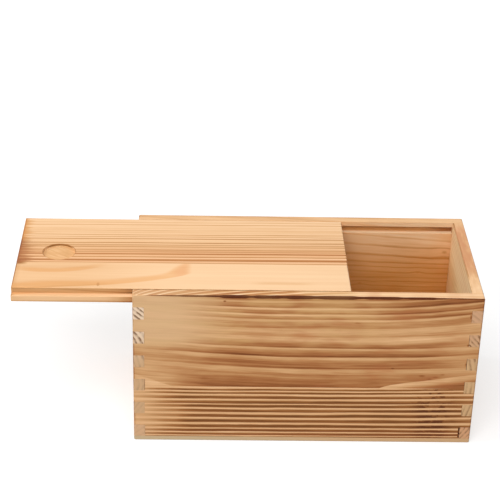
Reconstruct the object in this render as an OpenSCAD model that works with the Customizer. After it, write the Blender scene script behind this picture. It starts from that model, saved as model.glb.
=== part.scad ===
// Sliding-lid box of scorched softwood, glued up from narrow boards and finger-jointed at its corners.
// The origin is the middle of the underside, +Z is up, and the lid slides open towards -X.
// The front wall faces -Y. Both ends stand across X: the lid passes over the low one at -X,
// and comes to a stop against the high one at +X.

/* [Box] */
// Outside length, along the way that the lid slides
box_l = 200; // [120:1:320]
// Outside width, across the lid
box_w = 98; // [70:1:200]
// Height from the underside to the rims of the long walls
box_h = 100; // [75:1:200]
// Thickness of the two long walls
side_t = 6.4; // [4.5:0.1:10]
// Thickness of the two end walls
end_t = 6.5; // [4:0.1:10]
// Thickness of the bottom panel
bottom_t = 3; // [2:0.1:6]
// Radius that sanding gives the box's outer edges
edge_r = 0.8; // [0.3:0.1:1.5]

/* [Corner joints] */
// Height of one finger, before the row is evened out to fill the wall
finger_pitch = 8; // [4:0.5:16]

/* [Glued boards] */
// Width of the front wall's lower board
front_lower_w = 35.6; // [20:0.1:60]
// Width of the back wall's lower board
back_lower_w = 44; // [20:0.1:60]
// Width of the low end wall's lower board
low_end_lower_w = 43; // [20:0.1:60]
// Width of the high end wall's lower board
high_end_lower_w = 46; // [20:0.1:60]
// Width of the lid's front strip, with its tongue
lid_front_w = 33; // [20:0.1:60]

/* [Lid grooves] */
// Height of the lip over each groove
lip_h = 3; // [2:0.1:5]
// Height of each groove
groove_h = 4.4; // [3:0.1:6]
// Depth of each groove into its long wall
groove_d = 3.2; // [2:0.1:4]

/* [Lid] */
// How far the lid stands open
lid_open = 68.9; // [0:0.1:180]
// How far the lid's top stands above the rims
lid_proud = 0.2; // [0:0.1:1]
// Radius that sanding gives the lid's edges
lid_r = 0.5; // [0.2:0.1:1]
// Clearance under the lid's tongues
floor_gap = 0.15; // [0.05:0.05:0.5]
// Clearance over the lid's tongues
roof_gap = 0.25; // [0.05:0.05:0.8]
// Clearance beside the lid, in the grooves and between the rims
side_gap = 0.4; // [0.1:0.1:1]
// Clearance between the shut lid and the high end wall
end_gap = 0.2; // [0.1:0.1:1]

/* [Finger recess] */
// Diameter of the round recess in the lid's top
recess_d = 19; // [10:0.5:28]
// Depth of the recess
recess_depth = 1.5; // [0.5:0.1:3]
// Distance from the lid's outer end to the middle of the recess
recess_inset = 23.8; // [16:0.1:60]

/* [Hidden] */
$fn = 48;

// How far a cutter runs past the face that it opens
over = 1;

// The walls stand on the bottom panel
wall_h = box_h - bottom_t;
inner_w = box_w - 2 * side_t;

// The grooves' floor is level with the top of the low end wall
rim_h = lip_h + groove_h;
groove_floor = box_h - rim_h;

// An even number of units fills the wall: the long walls own the top one, the end walls the bottom one.
// The first unit of the end walls, counted from 0 at the top, is an odd one that lies below the grooves.
unit_n = 2 * round(wall_h / finger_pitch / 2);
unit_h = wall_h / unit_n;
first_end_unit = 2 * ceil((rim_h / unit_h - 1) / 2) + 1;

// The lid's cross-section is a tongued board: the wide lower part runs in the grooves
lid_l = box_l - end_t - end_gap;
lid_w = inner_w + 2 * (groove_d - side_gap);
lid_top_w = inner_w - 2 * side_gap;
tongue_t = groove_h - floor_gap - roof_gap;
lid_under = groove_floor + floor_gap;
lid_t = box_h + lid_proud - lid_under;
lid_end_x = -box_l / 2 - lid_open;
lid_seam_y = lid_front_w - lid_w / 2;

// Softwood as it shows in each place
front_upper_wood = [0.80, 0.57, 0.34];
front_lower_wood = [0.72, 0.48, 0.27];
back_wood = [0.85, 0.64, 0.40];
end_wood = [0.83, 0.62, 0.41];
lid_front_wood = [0.96, 0.78, 0.58];
lid_rear_wood = [0.91, 0.71, 0.46];
panel_wood = [0.80, 0.71, 0.53];

// A rectangle with round corners, made of circles and bars so that its arcs stay true
module round_rect(w, h, r) {
    for (x = [-1, 1], y = [-1, 1])
        translate([x * (w / 2 - r), y * (h / 2 - r)])
            circle(r);
    square([w - 2 * r, h], center = true);
    square([w, h - 2 * r], center = true);
}

// The whole box as a block that stands on z = 0 with all its edges sanded
module sanded_block() {
    translate([0, 0, box_h / 2])
        intersection() {
            linear_extrude(box_h, center = true)
                round_rect(box_l, box_w, edge_r);
            rotate([90, 0, 0])
                linear_extrude(box_w, center = true)
                    round_rect(box_l, box_h, edge_r);
            rotate([90, 0, 90])
                linear_extrude(box_l, center = true)
                    round_rect(box_w, box_h, edge_r);
        }
}

// Everything between two heights
module layer(z_low, z_high) {
    translate([-box_l, -box_w, z_low])
        cube([2 * box_l, 2 * box_w, z_high - z_low]);
}

// The end walls' units in one row, as squares of width w that start at x
module end_units(x, w) {
    for (unit = [first_end_unit : 2 : unit_n - 1])
        translate([x, box_h - (unit + 1) * unit_h])
            square([w, unit_h]);
}

// A long wall in X and Z: a board with a row of sockets in each end
module side_outline() {
    difference() {
        translate([-box_l / 2, bottom_t])
            square([box_l, wall_h]);
        end_units(-box_l / 2 - over, end_t + over);
        end_units(box_l / 2 - end_t, end_t + over);
    }
}

// An end wall in Y and Z: a board between the long walls, with fingers that go through them
module end_outline(top) {
    translate([-inner_w / 2, bottom_t])
        square([inner_w, top - bottom_t]);
    end_units(-box_w / 2, box_w);
}

// The groove that one of the lid's tongues runs in, open at the low end
module lid_groove(side) {
    start_y = side * (inner_w / 2 - over);
    end_y = side * (inner_w / 2 + groove_d);
    translate([-box_l / 2 - over, min(start_y, end_y), groove_floor])
        cube([box_l - end_t + over, groove_d + over, groove_h]);
}

// One long wall, at -Y for side -1 and at +Y for side 1
module side_wall(side) {
    difference() {
        intersection() {
            translate([0, side * (box_w - side_t) / 2, 0])
                rotate([90, 0, 0])
                    linear_extrude(side_t, center = true)
                        side_outline();
            sanded_block();
        }
        lid_groove(side);
    }
}

// One end wall up to the height top, at -X for side -1 and at +X for side 1
module end_wall(side, top) {
    intersection() {
        translate([side * (box_l - end_t) / 2, 0, 0])
            rotate([90, 0, 90])
                linear_extrude(end_t, center = true)
                    end_outline(top);
        sanded_block();
    }
}

// The lid's section in Y and Z, from the underside of its tongues up
module lid_section() {
    translate([0, tongue_t / 2])
        round_rect(lid_w, tongue_t, lid_r);
    translate([0, lid_t / 2])
        round_rect(lid_top_w, lid_t, lid_r);
}

// The glued-up lid before it is told apart into its two strips
module lid_blank() {
    difference() {
        translate([lid_end_x + lid_l / 2, 0, lid_under])
            intersection() {
                rotate([90, 0, 90])
                    linear_extrude(lid_l, center = true)
                        lid_section();
                rotate([90, 0, 0])
                    linear_extrude(lid_w, center = true)
                        translate([0, lid_t / 2])
                            round_rect(lid_l, lid_t, lid_r);
            }
        translate([lid_end_x + recess_inset, 0, box_h + lid_proud - recess_depth])
            cylinder(h = recess_depth + over, d = recess_d);
    }
}

module bottom_panel() {
    color(panel_wood)
        intersection() {
            sanded_block();
            layer(0, bottom_t);
        }
}

module front_lower_board() {
    color(front_lower_wood)
        intersection() {
            side_wall(-1);
            layer(bottom_t, bottom_t + front_lower_w);
        }
}

module front_upper_board() {
    color(front_upper_wood)
        intersection() {
            side_wall(-1);
            layer(bottom_t + front_lower_w, box_h);
        }
}

module back_lower_board() {
    color(back_wood)
        intersection() {
            side_wall(1);
            layer(bottom_t, bottom_t + back_lower_w);
        }
}

module back_upper_board() {
    color(back_wood)
        intersection() {
            side_wall(1);
            layer(bottom_t + back_lower_w, box_h);
        }
}

module low_end_lower_board() {
    color(end_wood)
        intersection() {
            end_wall(-1, groove_floor);
            layer(bottom_t, bottom_t + low_end_lower_w);
        }
}

module low_end_upper_board() {
    color(end_wood)
        intersection() {
            end_wall(-1, groove_floor);
            layer(bottom_t + low_end_lower_w, box_h);
        }
}

module high_end_lower_board() {
    color(end_wood)
        intersection() {
            end_wall(1, box_h);
            layer(bottom_t, bottom_t + high_end_lower_w);
        }
}

module high_end_upper_board() {
    color(end_wood)
        intersection() {
            end_wall(1, box_h);
            layer(bottom_t + high_end_lower_w, box_h);
        }
}

module lid_front_strip() {
    color(lid_front_wood)
        intersection() {
            lid_blank();
            translate([lid_end_x - over, -lid_w / 2 - over, lid_under - over])
                cube([lid_l + 2 * over, lid_front_w + over, lid_t + 2 * over]);
        }
}

module lid_rear_strip() {
    color(lid_rear_wood)
        intersection() {
            lid_blank();
            translate([lid_end_x - over, lid_seam_y, lid_under - over])
                cube([lid_l + 2 * over, lid_w - lid_front_w + over, lid_t + 2 * over]);
        }
}

bottom_panel();
front_lower_board();
front_upper_board();
back_lower_board();
back_upper_board();
low_end_lower_board();
low_end_upper_board();
high_end_lower_board();
high_end_upper_board();
lid_front_strip();
lid_rear_strip();
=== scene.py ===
import math

import bmesh
import bpy
from mathutils import Matrix, Vector


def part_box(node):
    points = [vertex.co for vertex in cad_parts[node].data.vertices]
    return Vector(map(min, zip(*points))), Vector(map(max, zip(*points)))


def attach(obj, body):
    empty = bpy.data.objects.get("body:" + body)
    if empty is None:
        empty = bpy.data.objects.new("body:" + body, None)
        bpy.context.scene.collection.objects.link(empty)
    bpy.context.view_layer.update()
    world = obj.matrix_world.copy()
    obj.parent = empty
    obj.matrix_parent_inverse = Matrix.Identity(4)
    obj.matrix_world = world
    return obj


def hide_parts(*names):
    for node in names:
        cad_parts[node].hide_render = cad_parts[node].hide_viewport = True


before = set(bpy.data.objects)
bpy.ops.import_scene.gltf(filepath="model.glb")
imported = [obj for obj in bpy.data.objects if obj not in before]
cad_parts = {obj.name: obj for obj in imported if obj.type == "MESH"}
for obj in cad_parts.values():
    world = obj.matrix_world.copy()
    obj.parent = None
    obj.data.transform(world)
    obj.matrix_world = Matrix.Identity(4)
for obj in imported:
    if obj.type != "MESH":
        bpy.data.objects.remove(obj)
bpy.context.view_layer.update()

# ---- Bottom panel ----
# A thin pressed panel that the four walls are glued onto. It is planed to 3 mm and its edge is
# sanded flush with the walls, so a plain greenish-beige strip shows under them.

MM = 0.001
scene = bpy.context.scene
origin = (0.0, 0.0, 0.0)
full_size = (1.0, 1.0, 1.0)


def tone(red, green, blue):
    """A colour as it shows on a screen, from 0 to 255, in the linear form that a shader takes."""
    shares = [value / 255 for value in (red, green, blue)]
    linear = [s / 12.92 if s <= 0.04045 else ((s + 0.055) / 1.055) ** 2.4 for s in shares]
    return (*linear, 1.0)


def reckoning(operation, swapped=False):
    """What an operator does with a value: it adds the node that works the result out."""
    def work_out(value, other):
        pair = (other, value) if swapped else (value, other)
        return value.wires.math(operation, *pair)
    return work_out


class Value:
    """What a node gives. Sums, products and so on with it are worked out by further nodes."""

    __add__, __radd__ = reckoning("ADD"), reckoning("ADD", swapped=True)
    __sub__, __rsub__ = reckoning("SUBTRACT"), reckoning("SUBTRACT", swapped=True)
    __mul__, __rmul__ = reckoning("MULTIPLY"), reckoning("MULTIPLY", swapped=True)
    __truediv__ = reckoning("DIVIDE")

    def __init__(self, wires, socket):
        self.wires = wires
        self.socket = socket

    def __abs__(self):
        return self.wires.math("ABSOLUTE", self)

    def rise(self, start, end, low=0.0, high=1.0, shape="SMOOTHSTEP"):
        """Goes from low at start to high at end, and stays level outside them."""
        feeds = {"Value": self, "From Min": start, "From Max": end, "To Min": low, "To Max": high}
        return self.wires.give("ShaderNodeMapRange", feeds, interpolation_type=shape)

    def curve(self, points, straight=False):
        """The height at each value, read off a line through points of (value, height)."""
        low, high = points[0][0], points[-1][0]
        bottom, top = min(p[1] for p in points), max(p[1] for p in points)
        node = self.wires.add("ShaderNodeFloatCurve", {"Value": self.rise(low, high, shape="LINEAR")})
        line = node.mapping.curves[0]
        for index, (place, height) in enumerate(points):
            at = ((place - low) / (high - low), (height - bottom) / (top - bottom))
            if 0 < index < len(points) - 1:
                line.points.new(*at)
            else:
                line.points[0 if index == 0 else -1].location = at
        if straight:
            for point in line.points:
                point.handle_type = "VECTOR"
        node.mapping.update()
        return Value(self.wires, node.outputs[0]) * (top - bottom) + bottom

    def stain(self, share, red, green, blue):
        """This colour, changed by a share towards another, given as it shows on a screen."""
        return self.wires.tint(share, self, tone(red, green, blue))


class Wiring:
    """Adds nodes to one material or group, and links or sets what feeds them."""

    def __init__(self, tree):
        self.tree = tree

    def feed(self, socket, value):
        if isinstance(value, Value):
            self.tree.links.new(value.socket, socket)
        else:
            socket.default_value = value

    def add(self, kind, feeds=(), **settings):
        """A new node with its settings, and with its inputs fed by name, by number or in order."""
        node = self.tree.nodes.new(kind)
        for name, value in settings.items():
            setattr(node, name, value)
        for name, value in feeds.items() if isinstance(feeds, dict) else enumerate(feeds):
            self.feed(node.inputs[name], value)
        return node

    def give(self, kind, feeds=(), output=0, **settings):
        """What a new node gives at one output."""
        return Value(self, self.add(kind, feeds, **settings).outputs[output])

    def use(self, group, **feeds):
        """All that a group gives, in order."""
        named = {name.replace("_", " ").title(): value for name, value in feeds.items()}
        return [Value(self, s) for s in self.add("ShaderNodeGroup", named, node_tree=group).outputs]

    def hand_out(self, *values):
        """Hands out what a group gives, in order, and returns the finished group."""
        self.add("NodeGroupOutput", values)
        return self.tree

    def math(self, operation, *values):
        return self.give("ShaderNodeMath", values, operation=operation)

    def vector(self, operation, *values):
        output = "Value" if operation in ("LENGTH", "DOT_PRODUCT") else "Vector"
        return self.give("ShaderNodeVectorMath", values, output, operation=operation)

    def split(self, vector):
        return [Value(self, s) for s in self.add("ShaderNodeSeparateXYZ", [vector]).outputs]

    def join(self, x, y, z):
        return self.give("ShaderNodeCombineXYZ", [x, y, z])

    def blend(self, share, first, second):
        """A number between two others."""
        return self.give("ShaderNodeMix", {0: share, 2: first, 3: second}, data_type="FLOAT")

    def tint(self, share, first, second):
        """A colour between two others."""
        return self.give("ShaderNodeMix", {0: share, 6: first, 7: second}, 2, data_type="RGBA")

    def turn(self, vector, angle):
        """A place turned about the upright axis."""
        return self.give("ShaderNodeMapping", {"Vector": vector, "Rotation": (0.0, 0.0, angle)})

    def noise(self, vector, scale, seed, detail=1.0, roughness=0.5):
        """Soft noise that runs from about -1 to 1."""
        feeds = {"Vector": vector, "W": seed, "Scale": scale, "Detail": detail, "Roughness": roughness}
        value = self.give("ShaderNodeTexNoise", feeds, noise_dimensions="4D")
        return value.rise(0.25, 0.75, -1, 1, shape="LINEAR")


def start_group(name, inputs, outputs, kind="Float", tree_kind="ShaderNodeTree"):
    """A group's wiring and what it is given. Each named input has its default, or the kind of what
    it takes."""
    kinds = {float: "Float", int: "Int", tuple: "Vector"}
    tree = bpy.data.node_groups.new(name, tree_kind)
    for label, default in inputs.items():
        taken = kinds.get(type(default), default)
        socket = tree.interface.new_socket(label, in_out="INPUT", socket_type="NodeSocket" + taken)
        if taken != default:
            socket.default_value = default
    for label in outputs:
        tree.interface.new_socket(label, in_out="OUTPUT", socket_type="NodeSocket" + kind)
    wires = Wiring(tree)
    sources = wires.add("NodeGroupInput").outputs
    return wires, [Value(wires, sources[label]) for label in inputs]


# How brown the torch has left the wood, from 0 for raw to 1 for charred
scorched_tones = [
    (0, (255, 222, 180)), (0.1, (249, 207, 162)), (0.2, (240, 194, 146)), (0.3, (226, 177, 128)),
    (0.4, (211, 162, 112)), (0.5, (198, 145, 95)), (0.6, (183, 127, 78)), (0.7, (167, 107, 61)),
    (0.8, (143, 86, 44)), (0.9, (108, 58, 26)), (1, (62, 28, 10))]
wires, [brownness] = start_group("Scorched tones", {"Brownness": 0.5}, ["Color"], kind="Color")
tone_ramp = wires.add("ShaderNodeValToRGB", {"Fac": brownness})
tone_stops = tone_ramp.color_ramp.elements
tone_stops.remove(tone_stops[1])
for place, screen_colour in scorched_tones:
    stop = tone_stops[0] if place == 0.0 else tone_stops.new(place)
    stop.color = tone(*screen_colour)
wood_tones = wires.hand_out(Value(wires, tone_ramp.outputs[0]))

# Fibres drawn out along the grain: fine streaks, and broad clouds that follow them
wires, [grain, length, width, seed] = start_group(
    "Wood fibres", {"Grain": origin, "Length": 24.0, "Width": 0.6, "Seed": 0.0}, ["Streaks", "Clouds"])
drawn_out = wires.vector("DIVIDE", grain, wires.join(length, width, width))
fine = wires.noise(drawn_out, 1, seed, detail=2, roughness=0.6)
broad = wires.noise(drawn_out, 0.3, seed)
clouds = wires.noise(drawn_out, 0.07, seed, detail=2)
wood_fibres = wires.hand_out(0.6 * fine + 0.6 * broad, clouds)

# Scorching on the edges of a block: a thin burnt line that comes and goes, and a toasted band
wires, [position, low, high, line, reach, seed] = start_group(
    "Edge scorch",
    {"Position": origin, "Low Corner": origin, "High Corner": full_size, "Line": 1.0, "Reach": 8.0,
     "Seed": 0.0},
    ["Burn", "Toast"])
above = wires.vector("SUBTRACT", position, low)
below = wires.vector("SUBTRACT", high, position)
near_x, near_y, near_z = wires.split(wires.vector("MINIMUM", above, below))
nearer = wires.math("MINIMUM", near_x, near_y)
farther = wires.math("MAXIMUM", near_x, near_y)
from_edge = wires.math("MAXIMUM", nearer, wires.math("MINIMUM", farther, near_z))
flicker = wires.noise(position, 0.045, seed, detail=3, roughness=0.6)
line_width = line * flicker.rise(-0.8, 0.8, 0.5, 1.4)
burn = from_edge.rise(line_width, 0.3 * line_width) * flicker.rise(-0.7, 0.5, 0.15, 1)
toast = from_edge.rise(reach, 0) * flicker.rise(-0.8, 0.8, 0.3, 1)
edge_scorch = wires.hand_out(burn, toast)

# Years as circles round the log's heart, which wander a little along the board. On the face at the
# distance "Face" from the heart, the distance is measured straight along that face.
wires, [position, heart, face, wander, wander_length, seed] = start_group(
    "Log rings",
    {"Position": origin, "Heart": origin, "Face": 0.0, "Wander": 0.5, "Wander Length": 60.0,
     "Seed": 0.0},
    ["Distance", "Round"])
from_heart = wires.vector("SUBTRACT", position, heart)
across_log = wires.vector("MULTIPLY", from_heart, (0.0, 1.0, 1.0))
squared = wires.vector("DOT_PRODUCT", across_log, across_log) - face * face
on_face = wires.math("SQRT", wires.math("MAXIMUM", squared, 0.0))
short = 0.2 * wander_length
drawn_out = wires.vector("DIVIDE", position, wires.join(wander_length, short, short))
slow = wires.noise(drawn_out, 1, seed, detail=0)
quick = wires.noise(drawn_out, 3.7, seed)
_, heart_y, heart_z = wires.split(from_heart)
log_rings = wires.hand_out(
    on_face + wander * (slow + 0.35 * quick), 60.0 * wires.math("ARCTAN2", heart_y, heart_z))


def start_nodes(block):
    """The emptied nodes of a new material or world."""
    block.use_nodes = True
    block.node_tree.nodes.clear()
    return Wiring(block.node_tree)


def start_wood(name, turned=False):
    """A wood material's wiring, and the place along, across and up in millimetres. A turned one's
    grain runs across the box."""
    material = bpy.data.materials.new(name)
    wires = start_nodes(material)
    metres = wires.give("ShaderNodeTexCoord", output="Object")
    wires.material = material
    wires.turned = turned
    wires.place = wires.give(
        "ShaderNodeVectorMath", {"Scale": 1 / MM, "Vector": metres}, operation="SCALE")
    wires.axes = wires.split(wires.place)
    wires.facing = wires.split(wires.give("ShaderNodeTexCoord", output="Normal"))
    wires.grain = wires.turn(wires.place, -math.pi / 2) if turned else wires.place
    return wires, *wires.axes


def fibres(grain, length, width, seed):
    """Streaks of fibres this long and wide, and the clouds that follow them."""
    return grain.wires.use(wood_fibres, grain=grain, length=length, width=width, seed=seed)


def streak(wires, depth, round_log, *size_and_seed):
    """Fibres that run with the years, told along the grain, across and round them."""
    grain = wires.join(wires.split(wires.grain)[0], depth, 0.4 * round_log)
    return fibres(grain, *size_and_seed)


def scorched(brown):
    """The wood's colour where the torch has left it this brown."""
    return brown.wires.use(wood_tones, brownness=brown)[0]


def finish_wood(wires, colour, brown, streaks, end_colour, raised=0.1):
    """End grain where the fibres run into the face, then the shader, matt and brushed."""
    cut_across = abs(wires.facing[1 if wires.turned else 0]).rise(0.55, 0.85)
    bump = wires.give("ShaderNodeBump", {
        "Height": brown + 0.25 * streaks, "Distance": raised * MM, "Strength": 0.5})
    shader = wires.give("ShaderNodeBsdfPrincipled", {
        "Base Color": wires.tint(cut_across, colour, end_colour),
        "Roughness": brown.rise(0.1, 0.9, 0.7, 0.52, shape="LINEAR"),
        "Specular IOR Level": 0.15,
        "Normal": bump,
    })
    wires.add("ShaderNodeOutputMaterial", {"Surface": shader})
    return wires.material


def bake_modifiers(piece):
    """Turns what the piece's modifiers make into its plain mesh."""
    shown = piece.evaluated_get(bpy.context.evaluated_depsgraph_get())
    mesh = bpy.data.meshes.new_from_object(shown)
    piece.modifiers.clear()
    piece.data = mesh


def into_scene(name, shape):
    """A piece in the scene with a finished bmesh as its shape."""
    mesh = bpy.data.meshes.new(name)
    shape.to_mesh(mesh)
    shape.free()
    piece = bpy.data.objects.new(name, mesh)
    scene.collection.objects.link(piece)
    return piece


def blank_board(name, low, high):
    """A squared board between two corners."""
    shape = bmesh.new()
    bmesh.ops.create_cube(shape, size=1.0)
    for corner in shape.verts:
        corner.co = [a if c < 0 else b for c, a, b in zip(corner.co, low, high)]
    return into_scene(name, shape)


box_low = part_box("bottom_panel")[0]
box_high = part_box("high_end_upper_board")[1]
sanded_radius = 0.8 * MM
arris = 0.12 * MM
same_place = 0.001 * MM
glue_levels = [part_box(node)[1].z for node in (
    "front_lower_board", "back_lower_board", "low_end_lower_board", "high_end_lower_board")]


def lies_at(edge, axis, level):
    """Whether an edge lies in the plane at this level on an axis."""
    return all(abs(vertex.co[axis] - level) < same_place for vertex in edge.verts)


def box_edge_radius(edge, board_low, board_high):
    """Full radius on the box's outer edges, none where boards are glued edge to edge, else an arris."""
    outer = sum(
        any(lies_at(edge, axis, corner[axis]) for corner in (box_low, box_high)) for axis in range(3))
    if outer >= 2:
        return sanded_radius
    for level in (board_low.z, board_high.z):
        if any(abs(level - glue) < same_place for glue in glue_levels) and lies_at(edge, 2, level):
            return 0.0
    return arris


def ease_edges(piece, radius_of, steps=3):
    """Rounds each edge by the radius that radius_of gives for it, and smooths the rounded strips."""
    flat, least_turn = 0.9999, 0.4
    shape = bmesh.new()
    shape.from_mesh(piece.data)
    bmesh.ops.remove_doubles(shape, verts=shape.verts, dist=0.1 * same_place)
    weights = shape.edges.layers.float.new("bevel_weight_edge")
    radii = [
        radius_of(e) if e.is_manifold and e.calc_face_angle() > least_turn else 0.0 for e in shape.edges]
    widest = max(radii)
    for edge, radius in zip(shape.edges, radii):
        edge[weights] = radius / widest
    shape.to_mesh(piece.data)
    shape.free()
    bevel = piece.modifiers.new("Eased edges", "BEVEL")
    bevel.limit_method = "WEIGHT"
    bevel.width = widest
    bevel.segments = steps
    bevel.use_clamp_overlap = False
    bake_modifiers(piece)
    for face in piece.data.polygons:
        face.use_smooth = max(abs(n) for n in face.normal) < flat


def fix_board(board, wood, body):
    """Gives the board its finish, and puts it in its CAD solid's place."""
    board.data.materials.clear()
    board.data.materials.append(wood)
    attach(board, body)
    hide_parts(board.name[: -len("_wood")])


panel_low, panel_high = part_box("bottom_panel")
panel = blank_board("bottom_panel_wood", panel_low, panel_high)
ease_edges(panel, lambda edge: box_edge_radius(edge, panel_low, panel_high))

wires, along, across, up = start_wood("Pressed panel")
streaks, clouds = fibres(wires.place, 22, 0.8, 3.1)
brown = 0.38 + 0.04 * streaks + 0.05 * clouds + 0.12 * up.rise(0.9, 0.3)
colour = scorched(brown).stain(along.rise(70, -80, 0.3, 0.8), 200, 180, 146)
panel_wood = finish_wood(wires, colour, brown, streaks, tone(188, 164, 126))
fix_board(panel, panel_wood, "box")

# ---- Front wall ----
# Two boards of softwood glued edge to edge and scorched with a torch, so that each year's late wood
# is brown. Both ends are cut into fingers, and a groove near the rim takes the lid's tongue.

wall_foot = panel_high.z
unit_count = 12
unit_height = (box_high.z - wall_foot) / unit_count
socket_fit = 0.02 * MM
side_inner = -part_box("front_upper_board")[1].y
end_inner = -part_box("low_end_upper_board")[1].x
groove_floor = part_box("low_end_upper_board")[1].z
groove_height = 4.4 * MM
groove_depth = 3.2 * MM

# A row of sockets in both ends of a board, each a little deeper than the finger that fills it
wires, row_inputs = start_group(
    "Row of sockets",
    {"Board": "Geometry", "Reach": 0.1, "Depth": 0.0065, "Through": 0.01, "Height": 0.008,
     "Lowest": 0.007, "Pitch": 0.016, "Count": 6, "Loose": 0.0003, "Turn": 0.0, "Place": origin,
     "Seed": 1, "Wood": "Material"},
    ["Board"], kind="Geometry", tree_kind="GeometryNodeTree")
blank, reach, depth, through, height, lowest, pitch, count, loose, turn, place, seed, wood = row_inputs
cutter = wires.give("GeometryNodeMeshCube", {"Size": full_size})
both_rows = wires.add("GeometryNodeJoinGeometry")
for seed_step, side in ((0.0, -1.0), (100.0, 1.0)):
    row = wires.give("GeometryNodeMeshLine", {
        "Count": count, "Start Location": wires.join(side * reach, 0.0, lowest),
        "Offset": wires.join(0.0, 0.0, pitch)})
    chance = wires.give(
        "FunctionNodeRandomValue", {"Seed": seed + seed_step}, output=1, data_type="FLOAT")
    slack = wires.math("POWER", chance, 2.0) * loose
    size = wires.join(2.0 * (depth + slack), through, height)
    wires.feed(both_rows.inputs[0], wires.give(
        "GeometryNodeInstanceOnPoints", {"Points": row, "Instance": cutter, "Scale": size}))
moved = wires.give("GeometryNodeTransform", {
    "Geometry": Value(wires, both_rows.outputs[0]), "Translation": place,
    "Rotation": wires.join(0.0, 0.0, turn)})
cutters = wires.give("GeometryNodeRealizeInstances", {"Geometry": moved})
cut = wires.give(
    "GeometryNodeMeshBoolean", {"Mesh 1": blank, "Mesh 2": cutters}, operation="DIFFERENCE",
    solver="EXACT")
whole = wires.give("GeometryNodeRealizeInstances", {"Geometry": cut})
painted = wires.give("GeometryNodeSetMaterial", {"Geometry": whole, "Material": wood})
socket_tree = wires.hand_out(painted)


def cut_sockets(board, **values):
    """Runs the socket tree on a board, with its inputs given by name."""
    modifier = board.modifiers.new("Sockets", "NODES")
    modifier.node_group = socket_tree
    values = {
        "Height": unit_height + socket_fit, "Pitch": 2 * unit_height, "Count": unit_count // 2, **values}
    for item in socket_tree.interface.items_tree:
        if item.in_out == "INPUT" and item.name in values:
            modifier[item.identifier] = values[item.name]
    bake_modifiers(board)


def carve(board, tool):
    """Takes the tool's shape out of the board, and throws the tool away."""
    modifier = board.modifiers.new("Cut", "BOOLEAN")
    modifier.object = tool
    modifier.solver = "EXACT"
    bake_modifiers(board)
    bpy.data.objects.remove(tool)


def long_board(node, wood, seed):
    """One board of a long wall, with its sockets and the part of the lid's groove that is in it."""
    low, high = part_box(node)
    side = -1 if high.y < 0 else 1
    board = blank_board(node + "_wood", low, high)
    cut_sockets(
        board, Reach=high.x, Depth=high.x - end_inner, Through=4 * (high.y - low.y), Loose=0.22 * MM,
        Lowest=wall_foot + unit_height / 2, Place=(0.0, (low.y + high.y) / 2, 0.0), Seed=seed, Wood=wood)
    if high.z > groove_floor:
        across = sorted((side * (side_inner - groove_depth), side * (side_inner + groove_depth)))
        carve(board, blank_board(
            "groove", (low.x - groove_depth, across[0], groove_floor),
            (end_inner, across[1], groove_floor + groove_height)))
    ease_edges(board, lambda edge: box_edge_radius(edge, low, high))
    fix_board(board, wood, "box")


# What the woods measure from, in millimetres
rim = box_high.z / MM
left_face, right_face = box_low.x / MM, box_high.x / MM
front_face, rear_face = box_low.y / MM, box_high.y / MM
back_face = side_inner / MM
end_face = end_inner / MM


def patches(wires, stretch, seed, detail=2.0, roughness=0.5, place=None):
    """Soft noise over the wood, with how fast it changes along each axis."""
    stretched = wires.vector("MULTIPLY", place or wires.place, stretch)
    return wires.noise(stretched, 1, seed, detail, roughness)


def years_down(wires, heart, face, top, wander, wander_length, seed):
    """How deep in the log's years a face is below its top, and the way round the log's heart."""
    distance, round_log = wires.use(
        log_rings, position=wires.grain, heart=heart, face=abs(heart[1] - face), wander=wander,
        wander_length=wander_length, seed=seed)
    return distance + (top - heart[2]), round_log


def scorched_edges(wires, low_y, high_y, line, reach, seed):
    """The burnt line and the toasted band round the box's edges, between two faces of a wall."""
    return wires.use(
        edge_scorch, position=wires.place, low_corner=(left_face, low_y, -rim),
        high_corner=(right_face, high_y, rim), line=line, reach=reach, seed=seed)


def looking_up(wires):
    """1 on faces that look up, and 0 on the others."""
    return wires.facing[2].rise(0.5, 0.9)


def add_joint_marks_and_gap_shade(wires, brown, seed):
    """Dark marks where the high end's fingers stop, and a black strip of painted shade, in place
    of a gap, at the foot of the lowest socket.
    """
    along, _, up = wires.axes
    foot, unit = wall_foot / MM, unit_height / MM
    row = wires.math("FRACT", (up - foot) / (2 * unit))
    beside = abs(along - (end_face - 0.5)).rise(0.9, 0.2)
    patchy = patches(wires, (0, 0, 0.3), seed, detail=1).rise(-0.1, 0.4)
    marks = beside * row.rise(0.5, 0.48) * up.rise(40, 50) * patchy * 0.6
    # Painted shade: a black strip beside the lowest socket's foot stands in for the shadow in a gap.
    gap = (along.rise(end_face - 1.1, end_face - 0.8) * up.rise(foot + unit, foot + unit - 0.3)
           * up.rise(foot + 0.6, foot + 1.4))
    return wires.blend(gap, wires.blend(marks, brown, 0.88), 1)


# A pin knot: how far a place is inside it, and how far it pushes the years beside it aside
wires, [position, centre, size, stretch] = start_group(
    "Pin knot", {"Position": origin, "Centre": origin, "Size": 1.5, "Stretch": full_size},
    ["Knot", "Push"])
from_knot = wires.vector("SUBTRACT", position, centre)
away = wires.vector("LENGTH", wires.vector("DIVIDE", from_knot, stretch))
pin_knot = wires.hand_out(away.rise(size, 0.2 * size), size * away.rise(5 * size, 0))

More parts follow.
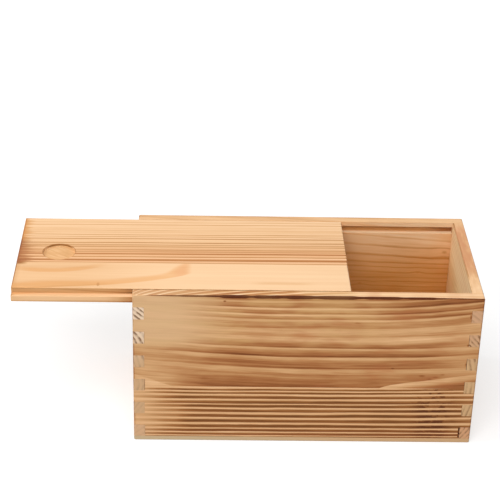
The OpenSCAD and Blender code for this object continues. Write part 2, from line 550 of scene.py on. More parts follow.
# The upper board. Its years sag in the middle and rise towards both ends, the lowest ones fastest.
# The long list is how brown the face is at each depth below the rim: a pale line where a year
# starts, then tan, then the brown late wood at its end.
front_heart = (0, -113, 200)
front_left_sag = [(-100, 3), (-85, 2.25), (-75, 1.95), (-50, 0.9), (-20, 0.2), (5, 0), (100, 0)]
front_right_sag = [(-100, 0), (10, 0), (45, 0.6), (60, 1.3), (80, 3), (100, 5.2)]
wedge_top = [
    (-100, 47.2), (-95, 45.4), (-90, 43.5), (-85, 41.5), (-80, 39.8), (-76, 38.4), (-72, 36.5),
    (36, 36.5), (42, 38), (46, 39.7), (50, 41), (60, 42.7), (70, 44.1), (80, 45.7), (90, 47.3),
    (100, 48.8)]
wedge_depths = [(-2, 0), (0.8, 0), (2.4, 0.06), (4, 0.2), (6, 0.38), (12, 0.42)]
front_years = [
    (-1, 0.6), (2.5, 0.62), (3.1, 0.36), (3.8, 0.38), (4.4, 0.58), (5.4, 0.57), (6.9, 0.71),
    (7.5, 0.29), (8.3, 0.32), (9, 0.53), (9.8, 0.56), (10.9, 0.71),
    (11.5, 0.29), (12.2, 0.33), (12.9, 0.56), (14.5, 0.69),
    (15.2, 0.31), (16.1, 0.35), (16.8, 0.51), (19.4, 0.61), (20.7, 0.54),
    (21.3, 0.34), (22.7, 0.35), (24.4, 0.41), (26.3, 0.51),
    (27, 0.37), (28.6, 0.31), (30.3, 0.39), (32.3, 0.62), (34.1, 0.76),
    (34.7, 0.33), (35.5, 0.37), (36.3, 0.58), (38.3, 0.69), (40, 0.86),
    (40.6, 0.38), (41.6, 0.42), (42.6, 0.56), (45.3, 0.72), (46.6, 0.63), (47.9, 0.77),
    (48.6, 0.44), (50.6, 0.40), (51.6, 0.55), (52.5, 0.65), (53.6, 0.56), (56.5, 0.67), (60.2, 0.74),
    (66, 0.76)]
burnt_widths = [
    (-100, 0.2), (-92, 0.4), (-82, 0.65), (-70, 0.8), (-62, 0.9), (-52, 0.9), (-48, 1.5), (-37, 1.6),
    (-33, 1.1), (-28, 1.6), (-18, 1.6), (-15, 1.3), (-10, 1.7), (0, 1.7), (4, 1.5), (10, 1.7),
    (24, 1.7), (30, 1.2), (38, 1.4), (50, 1.3), (54, 1), (58, 1.1), (68, 1.1), (73, 0.8), (80, 0.7),
    (100, 0.6)]

wires, along, across, up = start_wood("Front upper wood")
depth, round_log = years_down(wires, front_heart, front_face, rim, 0.4, 60, 1.7)
depth = (depth + along.curve(front_left_sag) * depth.rise(6, 44, 1, 1.9)
         + along.curve(front_right_sag) * depth.rise(6, 44, 1, 0.5))
streaks = streak(wires, depth, round_log, 22, 0.8, 1.1)[0]
fine_streaks = streak(wires, depth, round_log, 13, 0.33, 1.5)[0]
blotches = patches(wires, (0.045, 0, 0.16), 1.6)
brown = (depth + 0.16 * streaks + 0.1 * fine_streaks).curve(front_years, straight=True)
left_end = along.rise(-50, -92) * depth.rise(50, 55, 0.62, 0.85)
right_end = along.rise(66, 95, 0, 0.55) * up.rise(84, 74, 0.15, 1)
brown = wires.blend(wires.math("MAXIMUM", left_end, right_end), brown, 0.37)

# At both ends a paler wedge shows under the brown years, where the board's sapwood begins
under_wedge = along.curve(wedge_top, straight=True) - (-0.3 * streaks + up)
wedge_brown = 0.32 + under_wedge.curve(wedge_depths) * along.rise(0, 50, 0.3, 1)
brown = wires.blend(under_wedge.rise(-0.1, 0.3), brown, wedge_brown)
pale_end = along.rise(-38, -82) * up.rise(62, 74, 0.06, 0.86)
brown = wires.blend(pale_end, brown, 0.33)
brown = (brown + (0.1 * streaks + 0.1 * fine_streaks) * wires.blend(pale_end, 1, 0.55)
         + blotches * wires.blend(pale_end, 0.07, 0.02)
         + along.rise(52, 80) * up.rise(95, 97.5) * 0.08
         + along.rise(30, 60) * up.rise(82, 90) * 0.1)
burn, toast = scorched_edges(wires, front_face, -back_face, 1.0, 7, 1.3)
brown = brown + burn * up.rise(99, 96) * 0.25 + 0.03 * toast

# The rim is sanded paler, and its years run out across it in long slanting streaks at the low end
slant = along.curve([
    (-100, 31), (-90, 24), (-70, 16), (-40, 9), (-10, 3.9), (20, 0.8), (45, 0), (100, 0)])
rim_place = wires.join(along, across + slant, 0.0)
rim_streaks = fibres(rim_place, 26, 1.4, 1.9)[0]
rim_years = wires.math("FRACT", (across + slant + 0.9 * rim_streaks) * 0.27 + 0.35)
rim_fading = along.curve([
    (-100, 0.8), (-86, 1), (-70, 1.05), (-25, 0.95), (0, 0.55), (20, 0.25), (100, 0.15)])
rim_lines = (rim_years.rise(0.1, 0.55) * rim_years.rise(1, 0.85)
             * rim_streaks.rise(-0.7, 0.5, 0.5, 1.1))
rim_brown = along.rise(-40, 60, 0.06, 0.1) + rim_lines * rim_fading * 0.74 + 0.1 * rim_streaks
on_rim = looking_up(wires)
brown = wires.blend(on_rim, brown, rim_brown)

# The torch has charred the front edge of the rim, in one long line of changing width
from_rim_edge = wires.math("MAXIMUM", rim - up, across - front_face)
ragged = patches(wires, (0.12, 0, 0), 1.2).rise(-0.8, 0.8, 0.9, 1.1, shape="LINEAR")
burnt_width = along.curve(burnt_widths) * ragged
burnt_line = (from_rim_edge.rise(burnt_width, 0.7 * burnt_width) * burnt_width.rise(0.3, 1.1, 0.5, 1)
              * blotches.rise(-0.8, 0.2, 0.86, 1))
brown = wires.blend(burnt_line, brown, 0.98)

# Pin knots and small dark marks, each with its centre, size, stretch along the grain and strength
front_marks = [
    ((-47.7, front_face, 96.6), 0.9, 1.3, 0.8), ((-59, front_face, 44.4), 1.8, 2.2, 0.18),
    ((50.5, front_face, 52.4), 0.7, 2, 0.75), ((28.5, front_face, 83), 0.8, 3.2, 0.3),
    ((68, front_face, 47.4), 1.1, 2.4, 0.45), ((72.5, front_face, 45.2), 0.9, 2, 0.4),
    ((80, front_face, 48.4), 0.8, 2.4, 0.35), ((76, front_face, 46.6), 0.8, 3, 0.4),
    ((-96.8, front_face + 2.6, rim), 0.9, 0.8, 0.35), ((-98.6, front_face + 1.4, rim), 0.8, 0.8, 0.35)]
for centre, size, stretch, strength in front_marks:
    mark = wires.use(
        pin_knot, position=wires.place, centre=centre, size=size, stretch=(stretch, 1, 1))[0]
    brown = wires.blend(mark * strength, brown, 0.92)
brown = add_joint_marks_and_gap_shade(wires, brown, 1.8)

flush = blotches.rise(0, 0.8) * along.rise(-40, 10, 0.2, 1) * 0.3
golden = blotches.rise(0.3, -0.6) * along.rise(60, 20) * up.rise(62, 72) * 0.35
off_burn = 1.0 - burnt_line
colour = scorched(brown).stain(flush, 192, 118, 74).stain(golden, 210, 168, 108)
colour = colour.stain(pale_end * off_burn * 0.5, 222, 188, 146)
colour = colour.stain(on_rim * rim_lines * rim_fading * off_burn * 0.5, 214, 142, 88)
colour = colour.stain(0.9 * burnt_line, 84, 34, 0)
front_upper_wood = finish_wood(wires, colour, brown, streaks, colour.stain(0.5, 186, 150, 114))

long_board("front_upper_board", front_upper_wood, 4)

# The lower board, sawn so that its years cross the face as straight lines. The torch has burnt
# their late wood dark, so a dozen brown lines run the whole length. Each is given by the depth of
# its middle below the board's top, and half its width.
front_lower_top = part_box("front_lower_board")[1].z / MM
front_lower_lines = [
    (1.9, 0.45), (4.2, 0.5), (7.2, 0.85), (10.7, 0.9), (13.6, 0.8), (16.9, 0.8), (20.5, 0.85),
    (24.1, 0.95), (27.8, 0.85), (30.8, 0.7), (33.5, 0.6), (35.45, 0.15)]
lower_heart = (0, -120, 300)
line_points = [(front_lower_lines[0][0] - 4, 0)]
for middle, half in front_lower_lines:
    line_points += [
        (middle - half - 0.5, 0), (middle - 0.8 * half, 0.85), (middle + 0.3 * half, 1),
        (middle + half, 0.85), (middle + half + 0.35, 0)]
line_points.append((front_lower_lines[-1][0] + 4, 0))

wires, along, across, up = start_wood("Front lower wood")
depth, round_log = years_down(wires, lower_heart, front_face, front_lower_top, 0.2, 42, 2.3)
lean = along.curve([(-100, 0), (0, 0), (45, 0.35), (80, 0.95), (100, 1.3)])
depth = depth + lean * depth.rise(33, 20, 0.3, 1)
streaks, clouds = streak(wires, depth, round_log, 20, 0.5, 2.9)
fine_streaks = streak(wires, depth, round_log, 11, 0.3, 2.5)[0]
lines = (depth + 0.26 * streaks).curve(line_points, straight=True)
left_fading = wires.math("MAXIMUM", along.rise(-92, -64), abs(up - 18).rise(5, 12, 0.65, 1))
strength = (along.rise(-101, -70, 0.15, 1) * left_fading * along.rise(98, 88, 0.85, 1)
            * streaks.rise(-0.9, 0.6, 0.76, 1.06))
brown = 0.27 + lines * strength * 0.63 + 0.05 * streaks + 0.06 * fine_streaks + 0.03 * clouds
charred = patches(wires, (0.2, 0, 0.4), 2.6, roughness=0.6) + up.rise(32, 6, -0.2, 0.35)
charred = charred.rise(-0.25, 0.2) * along.rise(60, 72) * along.rise(90, 82) * lines.rise(0.2, 0.8)
brown = wires.blend(0.8 * charred, brown, 0.96)
burn = scorched_edges(wires, front_face, -back_face, 1.0, 7, 2.1)[0]
brown = add_joint_marks_and_gap_shade(wires, brown + 0.25 * burn, 2.2)
off_char = -0.9 * charred + 1.0
colour = scorched(brown).stain(lines * strength * off_char * 0.4, 136, 92, 48)
colour = colour.stain(up.rise(12, 5) * lines * 0.35, 140, 74, 40)
front_lower_wood = finish_wood(
    wires, colour, brown, streaks, colour.stain(0.5, 190, 152, 112), raised=0.16)

long_board("front_lower_board", front_lower_wood, 9)

# ---- Back wall ----
# Two more glued boards. Only the inside shows past the lid: tan under the groove, browner further
# down (partly scorch, partly painted shade), with wavy year lines that fall towards the high end,
# and a few pin knots. Painted light pales it in the groove and beside the lid's end.

back_heart = (0, 150, 260)
back_years = [
    -4, 2, 9, 15.7, 22.9, 27.6, 30.9, 34.9, 39.1, 42.3, 45.8, 48.6, 52, 55.6, 59, 63.3, 67.5, 71,
    75.8, 79.7, 83.8, 88, 92.7, 97.5, 102]
late_share, late_onset = 0.26, 0.12
back_knots = [
    ((90, back_face, 79.4), 1.5), ((38.5, back_face, 56.6), 1.2), ((74.5, back_face, 64.8), 0.9),
    ((-31, back_face, 71), 1.8), ((-66, rear_face, 62), 2), ((48, rear_face, 24), 1.6)]


def inside_of(wires, axis, wall):
    """1 on the faces that look into the box, which the torch has hardly reached, and 0 elsewhere."""
    return abs(wires.split(wires.place)[axis]).rise(wall + 0.25, wall + 0.1)


wires, along, across, up = start_wood("Back wood")
depth, round_log = years_down(wires, back_heart, back_face, rim, 0.55, 34, 5.3)
depth = depth - depth.rise(12, 42, 0.085, 0.012, shape="LINEAR") * (along - 30)
knots = 0.0
for centre, size in back_knots:
    knot, push = wires.use(
        pin_knot, position=wires.place, centre=centre, size=size, stretch=(1.5, 1, 1))
    knots += knot
    depth += push
streaks, clouds = streak(wires, depth, round_log, 22, 0.7, 5.9)

# The dark late wood sets in part of the way through each year, and stops sharply at its end
counted = depth.curve([(end, index) for index, end in enumerate(back_years)], straight=True)
year = wires.math("FLOOR", counted)
phase = counted - year
chance = wires.give("ShaderNodeTexWhiteNoise", {"W": year + 5.0}, noise_dimensions="1D")
onset = chance.rise(0, 1, 1 - 1.15 * late_share, 1 - 0.85 * late_share, shape="LINEAR")
lines = phase.rise(onset - late_onset, onset + late_onset) * phase.rise(1, 0.9)
strength = (chance.rise(0, 1, 0.5, 1, shape="LINEAR") * depth.rise(10, 20, 0.5, 1)
            * clouds.rise(-0.8, 0.8, 0.6, 1))

inside = inside_of(wires, 1, back_face)
behind_face = across - back_face
# Painted light: beside the lid's end the inside is made paler and more orange, to hide the lid's shadow.
lid_shadow_fill = inside * along.rise(66, 26) * along.rise(-60, 16)
# Darker further down inside: partly scorch, partly painted shade of the box's depth.
toned = wires.blend(inside, 0.5, up.curve([
    (0, 0.5), (50, 0.46), (60, 0.38), (70, 0.3), (80, 0.19), (90, 0.09), (100, 0.08)]))
# Painted light and shade in the lid's groove: paler inside it, browner towards its high-end corner.
groove_light_and_shade = (behind_face.rise(1, 2) * up.rise(rim - 2.6, rim - 3.2)
             * up.rise(groove_floor / MM - 0.6, groove_floor / MM))
brown = (toned + lines * strength * wires.blend(inside, 0.34, 0.55) + 0.14 * streaks
         + 0.1 * patches(wires, (0.035, 0, 0.1), 5.6) + -0.13 * lid_shadow_fill
         + groove_light_and_shade * along.rise(80, 90, 0, 0.15))
brown = wires.blend(0.35 * wires.math("MINIMUM", knots, 1), brown, 0.85)
# On faces that look up the rim is tan; the groove's ledge below gets the palest raw tone as painted
# light.
rim_brown = wires.blend(up.rise(rim - 3, rim - 2), 0, 0.22 + 0.1 * lines + 0.08 * streaks)
brown = wires.blend(looking_up(wires), brown, rim_brown)
burn, toast = scorched_edges(wires, back_face, rear_face, 0.9, 7, 5.1)
outside = behind_face.rise(2, 4)
brown = brown + burn * outside * 0.3 + toast * outside * 0.08
# Stains: more orange lower inside (partly painted shade), paler in the groove and beside the lid
# (painted light).
colour = scorched(brown).stain(inside * up.rise(92, 62, 0.2, 0.6), 220, 140, 54)
colour = colour.stain(groove_light_and_shade * along.rise(84, 70, 0, 0.35), 240, 180, 110)
colour = colour.stain(0.36 * lid_shadow_fill, 246, 166, 88)
back_wood = finish_wood(wires, colour, brown, streaks, scorched(0.35 + 0.25 * lines))

long_board("back_upper_board", back_wood, 14)
long_board("back_lower_board", back_wood, 15)

# ---- Low end wall ----
# Two boards with the grain across the box. The wall stops under the lid, and its fingers go
# through both long walls, where their greyish end grain shows fine rings.


def end_board(node, wood, seed):
    """One board of an end wall: between the long walls, with notches that their fingers fill."""
    low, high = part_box(node)
    board = blank_board(node + "_wood", low, high)
    cut_sockets(
        board, Reach=high.y, Depth=high.y - side_inner, Through=4 * (high.x - low.x), Loose=0.12 * MM,
        Lowest=wall_foot + 1.5 * unit_height, Turn=math.pi / 2, Place=((low.x + high.x) / 2, 0.0, 0.0),
        Seed=seed, Wood=wood)
    ease_edges(board, lambda edge: box_edge_radius(edge, low, high))
    fix_board(board, wood, "box")


# How far apart the years of the end walls lie, in millimetres
year_width = 2.6


def end_wall_wood(name, heart, seed, inner_brown):
    """Wood of an end wall: fine years round a heart, given by its place along X and its height."""
    wires = start_wood(name, turned=True)[0]
    distance, round_log = wires.use(
        log_rings, position=wires.grain, heart=(0, -heart[0], heart[1]), wander=0.35,
        wander_length=40, seed=seed)
    phase = wires.math("FRACT", 1.3 * wires.noise(wires.grain, 0.03, seed) + distance / year_width)
    lines = phase.rise(0.3, 0.8) * phase.rise(1, 0.88)
    streaks, clouds = streak(wires, distance, round_log, 20, 0.6, seed + 0.4)
    toned = wires.blend(inside_of(wires, 0, end_face), 0.48, inner_brown)
    burn, toast = scorched_edges(wires, front_face, rear_face, 0.9, 8, seed + 0.7)
    brown = toned + 0.07 * lines + 0.05 * streaks + 0.05 * clouds + 0.25 * burn + 0.06 * toast
    return wires, brown, streaks, lines


def end_grain(wires, lines, low_tone, mid_tone, top_tone, strengths, line_tone):
    """End grain of the fingers, toned by height, with the years' lines stronger on some fingers."""
    up = wires.axes[2]
    base = wires.tint(up.rise(12, 20), tone(*low_tone), tone(*mid_tone))
    base = base.stain(up.rise(50, 80), *top_tone)
    patchy = patches(wires, (0.3, 0, 0.2), 6.6).rise(-0.5, 0.4, 0.3, 1.25)
    return base.stain(lines * up.curve(strengths) * patchy, *line_tone)


wires, brown, streaks, lines = end_wall_wood("Low end wood", (-137, 47), 6.2, 0.3)
end_tone = end_grain(
    wires, lines, (214, 172, 132), (208, 168, 126), (238, 210, 180),
    [(0, 0.1), (30, 0.2), (50, 0.4), (62, 0.55), (70, 0.9), (100, 1)], (142, 110, 84))
low_end_wood = finish_wood(wires, scorched(brown), brown, streaks, end_tone)
end_board("low_end_upper_board", low_end_wood, 21)
end_board("low_end_lower_board", low_end_wood, 22)

# ---- High end wall ----
# The same at the other end, but as high as the long walls, so that the shut lid stops against it.
# Its top is toasted pinkish, with a thin burnt line along the inner edge.

wires, brown, streaks, lines = end_wall_wood("High end wood", (56, 38), 7.4, 0.02)
along, across, up = wires.axes
inside = inside_of(wires, 0, end_face)
wide_streaks = fibres(wires.grain, 40, 2.2, 7.9)[0]
brown = brown + inside * wide_streaks * up.rise(82, 70, 0.1, 0.3) + inside * lines * 0.14
on_rim = looking_up(wires)
mottle = patches(wires, (0.35, 0.1, 0), 7.2)
rim_brown = 0.11 * mottle + across.curve([
    (-49, 0.14), (-30, 0.18), (-15, 0.3), (5, 0.37), (25, 0.34), (38, 0.22), (49, 0.25)])
brown = wires.blend(on_rim, brown, rim_brown + 0.06 * streaks)
from_inner_edge = wires.math("MAXIMUM", rim - up, along - end_face)
inner_line = from_inner_edge.rise(0.9, 0.4) * across.curve([
    (-43, 0), (-28, 0.1), (-20, 0.6), (0, 0.75), (35, 0.7), (43, 0.9)])
brown = wires.blend(inner_line, brown, 0.85)
# Painted shade: the finger sides inside the joints, seen through gaps, are painted nearly black.
joint_gap_shade = across.rise(-back_face - 0.2, -back_face - 0.4) * wires.facing[0].rise(-0.4, -0.8)
brown = wires.blend(joint_gap_shade, brown, 1)
pinkish = on_rim * across.rise(-26, -8) * across.rise(44, 30) * mottle.rise(-1, 0.6, 0.2, 0.6)
colour = scorched(brown).stain(pinkish, 220, 150, 110)
# Painted light: the inside is stained paler, most of all further down, against the shade deep in the
# box.
colour = colour.stain(inside * up.rise(90, 70, 0.3, 0.7), 255, 220, 158)
colour = colour.stain(inside * across.rise(-5, 25) * up.rise(84, 66) * 0.4, 226, 152, 84)
colour = colour.stain(joint_gap_shade, 52, 18, 4)
end_tone = end_grain(
    wires, lines, (214, 162, 120), (210, 170, 124), (210, 164, 126),
    [(0, 0.6), (14, 0.6), (22, 0.5), (45, 0.5), (60, 0.65), (76, 0.9), (84, 0.25), (100, 0.25)],
    (136, 94, 60))
end_tone = end_tone.stain(0.6 * along.rise(right_face - 1.1, right_face - 0.3), 150, 104, 70)
high_end_wood = finish_wood(wires, colour, brown, streaks, end_tone)
end_board("high_end_upper_board", high_end_wood, 31)
end_board("high_end_lower_board", high_end_wood, 32)

# ---- Lid ----
# A flat board glued up from two strips, rebated along both long edges so that thin tongues run in
# the grooves. A shallow round recess near its outer end takes a fingertip.

lid_low, lid_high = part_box("lid_rear_strip")
lid_seam = lid_low.y
roof_gap = 0.25 * MM
side_gap = 0.4 * MM
tongue_top = groove_floor + groove_height - roof_gap
lid_top_half = side_inner - side_gap
lid_radius = 0.5 * MM
recess_rim = 0.3 * MM
recess_radius = 9.5 * MM
recess_depth = 1.5 * MM
recess_inset = 23.8 * MM
recess_centre = Vector((lid_low.x + recess_inset, 0.0, lid_high.z))
lid_end, lid_top, tongue_level = lid_low.x / MM, lid_high.z / MM, tongue_top / MM


def lid_strip(node, side):
    """One strip of the lid: its rebated section drawn out along X."""
    low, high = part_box(node)
    outer = side * max(abs(low.y), abs(high.y))
    section = [
        (lid_seam, low.z), (outer, low.z), (outer, tongue_top),
        (side * lid_top_half, tongue_top), (side * lid_top_half, high.z), (lid_seam, high.z)]
    shape = bmesh.new()
    rows = [[shape.verts.new((x, y, z)) for y, z in section] for x in (low.x, high.x)]
    for row in rows:
        shape.faces.new(row)
    for index in range(len(section)):
        after = (index + 1) % len(section)
        shape.faces.new((rows[0][index], rows[0][after], rows[1][after], rows[1][index]))
    bmesh.ops.recalc_face_normals(shape, faces=shape.faces)
    return into_scene(node + "_wood", shape)


def lid_edge_radius(edge):
    """None on the glued seam, a small one round the recess, and the sanded radius elsewhere."""
    if lies_at(edge, 1, lid_seam) or not edge.is_convex:
        return 0.0
    inside_reach = recess_radius + arris
    if all((vertex.co - recess_centre).to_2d().length < inside_reach for vertex in edge.verts):
        return recess_rim
    return lid_radius


def tone_lid_sides(wires, brown, streaks):
    """The upright sides: the lid's own edge above the tongue is toasted, the tongue is nearly raw."""
    along, _, up = wires.axes
    stripe = along.rise(-152, -106, 99.8, 97.6, shape="LINEAR")
    upper = along.curve([
        (-169, 0.47), (-150, 0.4), (-125, 0.42), (-112, 0.5), (-104, 0.66), (-98, 0.76), (25, 0.6)])
    upper = (upper + 0.14 * up.rise(lid_top - 1.4, lid_top - 0.6) + 0.09 * streaks
             + abs(up - stripe).rise(0.7, 0.1) * along.rise(-156, -120) * 0.22)
    lower = along.curve([
        (-169, 0.26), (-150, 0.22), (-120, 0.25), (-110, 0.34), (-103, 0.5), (-98, 0.55), (25, 0.3)])
    lower = lower + 0.2 * up.rise(94.2, 93.4) + 0.08 * streaks
    above_tongue = up.rise(tongue_level - 0.1, tongue_level + 0.3)
    sideways = abs(wires.facing[1]).rise(0.5, 0.9)
    return wires.blend(sideways, brown, wires.blend(above_tongue, lower, upper))


# The front strip, pale and barely scorched. Its years show as long orange flames, sharp below and
# fading above: one rises from the outer end to a rosy tip at the seam, one lies above it.
band_foot = [
    (-170, -44.5), (-150, -42), (-120, -38.7), (-100, -35), (-85, -31.4), (-76, -28.2),
    (-70, -25.5), (-60, -20)]
band_width = [(-170, 9), (-150, 10), (-120, 8), (-100, 7.5), (-85, 8), (-77, 13), (-60, 24)]
high_band_foot = [
    (-170, -21), (-160, -23.4), (-148, -24.2), (-134, -22.4), (-122, -18.6), (-112, -14.5),
    (-100, -10)]
wires, along, across, up = start_wood("Lid front wood")
sway = patches(wires, (0.03, 0.08, 0), 8.4)
streaks = fibres(wires.place, 34, 0.9, 8.6)[0]
wide_streaks = fibres(wires.place, 60, 2.4, 8.1)[0]


def flame(foot, width):
    """A flame: how far a place is above its sharp foot, and how orange it is there."""
    over = across + 0.5 * sway - along.curve(foot)
    return over, over.rise(-0.7, 0.8) * over.rise(width, 0.45 * width)


over_band, low_band = flame(band_foot, along.curve(band_width))
low_band = low_band * along.rise(-66, -72) * wide_streaks.rise(-0.8, 0.7, 0.65, 1)
high_band = flame(high_band_foot, 6)[1] * along.rise(-112, -136) * along.rise(-169, -158, 0.3, 1)
tip = along.rise(-79, -73.5) * low_band
bands = wires.math("MAXIMUM", low_band, 0.8 * high_band)
thin_line = abs(over_band - 1).rise(0.9, 0.2) * along.rise(-108, -122) * along.rise(-162, -148)
shade = abs(across + 34.6 + 0.4 * sway).rise(2.4, 0.3) * along.rise(-36, -22) * along.rise(8, -8)
# The last term is painted shade: a dark line along the rounded outer end.
brown = (0.1 + 0.13 * bands + 0.08 * tip + 0.14 * thin_line + 0.1 * shade
         + streaks * (0.035 + 0.06 * bands) + 0.025 * wide_streaks + along.rise(-75, -140, 0, 0.12)
         + along.rise(lid_end + 3.6, lid_end + 0.8, 0, 0.08)
         + along.rise(lid_end + 1, lid_end + 0.3, 0, 0.4))
seam_burn = (across.rise(-16.4, -14) * along.rise(lid_end + 7.5, lid_end + 2)
             * streaks.rise(-0.8, 0.5, 0.5, 0.9))
brown = wires.blend(seam_burn, brown, 0.74)
knot = wires.use(
    pin_knot, position=wires.place, centre=(-119.9, -37.5, lid_top), size=1.7,
    stretch=(0.7, 1.5, 3))[0]
brown = tone_lid_sides(wires, wires.blend(knot, brown, 0.76), streaks)
on_top = looking_up(wires)
on_side = wires.facing[1].rise(-0.5, -0.9) * up.rise(tongue_level, tongue_level + 0.4)
colour = scorched(brown).stain(bands * on_top * 0.6, 242, 178, 114)
colour = colour.stain(tip * on_top * 0.4, 246, 180, 138).stain(0.3 * on_side, 208, 166, 110)
lid_front_wood = finish_wood(wires, colour, brown, streaks, tone(214, 168, 122), raised=0.06)

lid_front = lid_strip("lid_front_strip", -1)
ease_edges(lid_front, lid_edge_radius)
fix_board(lid_front, lid_front_wood, "lid")

# The rear strip, sawn across the years: straight brown lines, darkest beside the seam and fading
# towards the back, and burnt where the torch ran past the outer end. Each line is given by its
# distance behind the seam, half its width, and how dark it is.
rear_lines = [
    (0.45, 0.3, 0.6), (4.1, 1.15, 0.92), (8, 0.5, 0.9), (11.6, 0.65, 1), (14.1, 0.4, 0.4),
    (16.5, 0.45, 0.5), (20.2, 0.4, 0.5), (22.6, 0.4, 0.45), (25.1, 0.4, 0.85), (30.1, 0.4, 0.9),
    (32.7, 0.4, 0.55), (35.2, 0.4, 0.5), (38, 0.3, 0.12), (40.8, 0.35, 0.18), (43.4, 0.3, 0.1),
    (47.9, 0.4, 0.34), (51, 0.35, 0.24), (55, 0.3, 0.12)]
rear_base = [
    (-2, 0.2), (0.6, 0.22), (1.6, 0.13), (2.4, 0.16), (3.4, 0.24), (5.5, 0.14), (7, 0.11), (10, 0.2),
    (13, 0.22), (15.3, 0.28), (18.5, 0.22), (21.4, 0.24), (24, 0.17), (28, 0.18), (31.4, 0.11),
    (40, 0.17), (50, 0.12), (60, 0.13)]
line_points = [(-2, 0)]
for middle, half, darkness in rear_lines:
    line_points += [
        (middle - half - 0.3, 0), (middle - half + 0.1, darkness),
        (middle + half - 0.1, 0.9 * darkness), (middle + half + 0.2, 0)]
line_points.append((60, 0))
rear_heart = (0, -260, 60)

wires, along, across, up = start_wood("Lid rear wood")
distance, round_log = wires.use(
    log_rings, position=wires.grain, heart=rear_heart, face=lid_top - rear_heart[2], wander=0.2,
    wander_length=60, seed=9.3)
behind = distance + (rear_heart[1] - lid_seam / MM)
behind = behind - behind.rise(0.5, 4, 0, 0.0105) * (along + 40)
streaks = streak(wires, behind, round_log, 30, 0.6, 9.9)[0]
fine_streaks = streak(wires, behind, round_log, 22, 0.35, 9.2)[0]
lines = (behind + 0.1 * streaks).curve(line_points, straight=True)
strength = streaks.rise(-0.9, 0.7, 0.72, 1.08) * fine_streaks.rise(-0.9, 0.9, 0.85, 1.1)
brown = behind.curve(rear_base) + lines * strength * 0.56 + 0.06 * streaks + 0.06 * fine_streaks

# The burnt outer end, reaching further in along the dark lines, and painted shade on the end edge
scorch_streaks = fibres(wires.place, 11, 0.6, 9.7)[0]
burn_reach = 9 * lines + 5 * scorch_streaks + behind.rise(32, 24, 5.5, 10.5)
outer_burn = (along.rise(burn_reach + lid_end, lid_end - 0.5) * behind.rise(36, 22, 0.8, 1)
              * scorch_streaks.rise(-0.9, 0.4, 0.45, 1))
outer_brown = (along.rise(lid_end + 3, lid_end + 0.3, 0, 0.12) + 0.24 * lines
               + 0.12 * scorch_streaks + 0.12 * fine_streaks + behind.rise(34, 20, 0.54, 0.64))
brown = wires.blend(outer_burn, brown, outer_brown)
# Painted shade: a dark line along the rounded outer end.
end_edge_shade = along.rise(lid_end + 1.2, lid_end + 0.4) * behind.rise(60, 30, 0.7, 0.95)
brown = wires.blend(end_edge_shade, brown, behind.rise(50, 20, 0.8, 0.92))

# The recess: a paler floor with slanting grain, with painted shade on its wall and a thin ring
flat_offset = wires.vector(
    "MULTIPLY", wires.vector("SUBTRACT", wires.place, recess_centre / MM), (1.0, 1.0, 0.0))
from_centre = wires.vector("LENGTH", flat_offset)
recess_reach = recess_radius / MM
in_recess = up.rise(lid_top - 0.15, lid_top - 0.5)
# Painted shade: the recess wall, and a thin ring on its far side, are darkened.
recess_wall_shade = (from_centre.rise(recess_reach - 0.5, recess_reach - 0.1)
               * up.rise(lid_top - 1.2, lid_top - 0.85))
floor_grain = patches(wires, (0.12, 0.8, 0), 9.5, detail=1, place=wires.turn(wires.place, 0.6))
recess_floor = 0.25 + 0.2 * floor_grain + along.rise(-150, -140, 0, 0.06)
recess_ring_shade = (abs(from_centre - (recess_reach - 0.1)).rise(0.65, 0.2) * across.rise(-8, -2)
               * up.rise(lid_top - 1.2, lid_top - 0.8))
brown = wires.blend(in_recess, brown, wires.blend(recess_wall_shade, recess_floor, 0.88))
brown = wires.blend(0.75 * recess_ring_shade, brown, 0.74)
brown = tone_lid_sides(wires, brown, streaks)
on_top = looking_up(wires)
colour = scorched(brown).stain(on_top * behind.rise(24, 12) * 0.24, 226, 150, 98)
colour = colour.stain(on_top * lines * (1 - in_recess) * 0.4, 204, 138, 76)
colour = colour.stain(outer_burn * behind.rise(34, 24) * 0.5, 160, 92, 58)
colour = colour.stain(outer_burn * behind.rise(24, 34) * 0.6, 240, 166, 92)
colour = colour.stain(in_recess * on_top * 0.45, 234, 184, 124)
colour = colour.stain(in_recess * recess_wall_shade * 0.7, 128, 86, 34)
colour = colour.stain(0.5 * recess_ring_shade, 140, 96, 44)
end_tone = scorched(0.34 + 0.25 * lines)
lid_rear_wood = finish_wood(wires, colour, brown, streaks, end_tone, raised=0.06)

lid_rear = lid_strip("lid_rear_strip", 1)
drill = bmesh.new()
bmesh.ops.create_cone(
    drill, cap_ends=True, segments=96, radius1=recess_radius, radius2=recess_radius,
    depth=2 * recess_depth, matrix=Matrix.Translation(recess_centre))
carve(lid_rear, into_scene("drill", drill))
ease_edges(lid_rear, lid_edge_radius)
fix_board(lid_rear, lid_rear_wood, "lid")

# ---- Floor, light and camera ----
# A white studio: a floor that keeps the box's soft shadow, a white surround, one large lamp in
# front and above, a smaller one at the left, and the camera where the photograph was taken from.

floor_size = 40.0
floor_thickness = 0.01
white = (*full_size, 1.0)
floor_grey = (0.62, 0.62, 0.62, 1.0)
glow_at_box, glow_far_off = 0.5, 0.85
surround_light = 0.45
floor = blank_board(
    "floor", (-floor_size, -floor_size, -floor_thickness), (floor_size, floor_size, 0.0))


def seen_straight(wires):
    """1 for what the camera sees, also in a reflection or through glass, and 0 for spread light."""
    camera, mirrored, through = [
        wires.give("ShaderNodeLightPath", output=f"Is {kind} Ray")
        for kind in ("Camera", "Glossy", "Transmission")]
    return wires.math("MAXIMUM", camera, wires.math("MAXIMUM", mirrored, through))


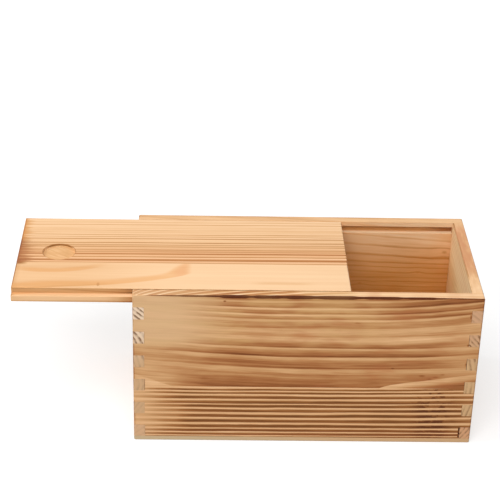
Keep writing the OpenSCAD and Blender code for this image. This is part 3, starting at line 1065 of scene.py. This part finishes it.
floor_material = bpy.data.materials.new("White floor")
wires = start_nodes(floor_material)
place = wires.give("ShaderNodeTexCoord", output="Object")
from_box = wires.vector("LENGTH", wires.vector("MULTIPLY", place, (1.0, 1.0, 0.0)))
glow_strength = seen_straight(wires) * from_box.rise(0.2, 0.6, glow_at_box, glow_far_off)
matt = wires.give("ShaderNodeBsdfDiffuse", {"Color": floor_grey})
glow = wires.give("ShaderNodeEmission", {"Color": white, "Strength": glow_strength})
surface = wires.give("ShaderNodeAddShader", [matt, glow])
wires.add("ShaderNodeOutputMaterial", {"Surface": surface})
floor.data.materials.append(floor_material)

world = bpy.data.worlds.new("White surround")
scene.world = world
wires = start_nodes(world)
surround_strength = seen_straight(wires).rise(0, 1, surround_light, 1, shape="LINEAR")
surround = wires.give("ShaderNodeBackground", {"Color": white, "Strength": surround_strength})
wires.add("ShaderNodeOutputWorld", {"Surface": surround})


def studio_lamp(name, place, aim, size, watts):
    """A square soft lamp at a place, turned towards its aim."""
    light = bpy.data.lights.new(name, "AREA")
    light.size = size
    light.energy = watts
    lamp = bpy.data.objects.new(name, light)
    lamp.location = place
    lamp.rotation_euler = (Vector(aim) - Vector(place)).to_track_quat("-Z", "Y").to_euler()
    scene.collection.objects.link(lamp)


middle = (0.0, 0.0, 0.06)
studio_lamp("Key lamp", (-0.22, -1.0, 1.28), middle, 1.2, 16.0)
studio_lamp("Side lamp", (-1.3, -0.05, 0.95), middle, 0.8, 7.5)

picture_width = 500
focal_pixels = 1577.47
principal = (240.0, 280.0)
pitch, roll, yaw = -0.52306, -0.02528, -0.02757
camera_place = Vector((-60.53, -815.31, 552.64)) * MM
lens = bpy.data.cameras.new("Camera")
lens.sensor_width = 36.0
lens.lens = focal_pixels / picture_width * lens.sensor_width
lens.shift_x = 0.5 - principal[0] / picture_width
lens.shift_y = principal[1] / picture_width - 0.5
camera = bpy.data.objects.new("Camera", lens)
scene.collection.objects.link(camera)
camera.matrix_world = (
    Matrix.Translation(camera_place) @ Matrix.Rotation(yaw, 4, "Z") @ Matrix.Rotation(pitch, 4, "X")
    @ Matrix.Rotation(roll, 4, "Y") @ Matrix.Rotation(math.pi / 2, 4, "X"))
scene.camera = camera
scene.view_settings.view_transform = "Standard"
